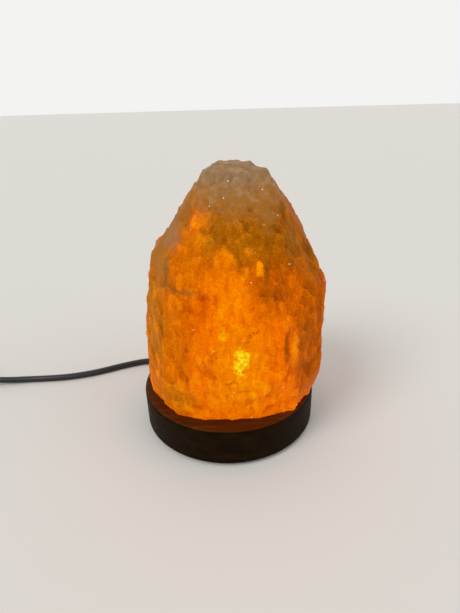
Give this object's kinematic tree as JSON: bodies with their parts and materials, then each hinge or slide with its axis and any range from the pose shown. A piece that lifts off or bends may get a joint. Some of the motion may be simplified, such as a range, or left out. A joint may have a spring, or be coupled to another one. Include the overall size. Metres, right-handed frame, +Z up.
{
  "type": "salt crystal lamp",
  "caption": "Glowing orange rock of salt, hollowed for a small bulb, on a round dark wooden stand, with a black mains lead, in-line rocker switch and plug.",
  "frame": {"origin": "on the floor, under the middle of the lamp's bounding box without its cord; the round stand's axis is 3.2 mm to the left of it, because the rock stands out over the stand on the right", "axes": "+Z up; -Y is the lamp's front, +X its right as seen from the front; the lead runs off towards -X"},
  "size_m": [0.4368, 0.1616, 0.177],
  "materials": {
    "salt": "translucent, lightly rough, lit from inside",
    "stained_wood": "dark walnut stain, satin",
    "black_rubber": "matt",
    "zinc_steel": "zinc plated",
    "grey_nylon": "matt",
    "spring_steel": "bright",
    "black_plastic": "moulded, fine grain",
    "white_ceramic": "unglazed",
    "brass": "pressed sheet",
    "brass_screws": "turned",
    "wire_insulation": "smooth",
    "cord_pvc": "smooth soft sheath with a slight shine",
    "switch_plastic": "moulded, semi gloss",
    "rocker_plastic": "moulded, gloss",
    "tie_strap": "woven strap",
    "plug_plastic": "moulded, satin",
    "nickel_prongs": "nickel plated",
    "prong_plastic": "smooth",
    "solder": "dull",
    "black_glass": "glossy",
    "nickel_cap": "nickel washed",
    "bulb_glass": "clear",
    "stem_glass": "clear",
    "nickel_wire": "drawn",
    "tungsten": "coiled wire"
  },
  "bodies": {
    "electrics": {"spring_clip": "spring_steel", "holder_cap": "black_plastic", "holder_shell": "black_plastic", "contact_block": "white_ceramic", "thread_shell": "brass", "centre_contact": "brass", "terminal_screws": "brass_screws", "core_wires": "wire_insulation", "cord_grip": "black_plastic", "cord_boot": "cord_pvc", "cord_lead": "cord_pvc", "switch_bottom": "switch_plastic", "switch_top": "switch_plastic", "rocker_pin": "zinc_steel", "switch_contacts": "brass", "case_screws": "zinc_steel", "switch_grommets": "cord_pvc", "cord_link": "cord_pvc", "cord_coil": "cord_pvc", "cord_tail": "cord_pvc", "coil_ties": "tie_strap", "plug_body": "plug_plastic", "plug_prongs": "nickel_prongs", "prong_sleeves": "prong_plastic", "plug_relief": "cord_pvc"},
    "stand": {"wooden_base": "stained_wood", "rubber_feet": "black_rubber", "salt_crystal": "salt", "crystal_screws": "zinc_steel", "screw_sleeves": "grey_nylon"},
    "bulb_contact": {"bulb_tip": "solder", "bulb_insulator": "black_glass"},
    "bulb": {"bulb_screw_cap": "nickel_cap", "bulb_glass": "bulb_glass", "glass_stem": "stem_glass", "lead_wires": "nickel_wire", "filament": "tungsten"},
    "rocker": {"switch_rocker": "rocker_plastic"}
  },
  "joints": [
    {"name": "stand_lift", "type": "slide", "parent": "electrics", "child": "stand", "axis": [0, 0, 1], "range_m": [0, 0.1]},
    {"name": "bulb_rise", "type": "slide", "parent": "electrics", "child": "bulb_contact", "axis": [0, 0, 1], "range_m": [0, 0.0087]},
    {"name": "bulb_turn", "type": "hinge", "parent": "bulb_contact", "child": "bulb", "pos_m": [-0.0032, 0, 0.04], "axis": [0, 0, 1], "range_deg": [0, 1080]},
    {"name": "rocker_press", "type": "hinge", "parent": "electrics", "child": "rocker", "pos_m": [-0.2512, 0.0376, 0.0128], "axis": [0, 1, 0], "range_deg": [-16, 0]}
  ],
  "couplings": [
    {"joint": "bulb_rise", "follows": "bulb_turn", "m_per_rad": 0.00044882}
  ]
}
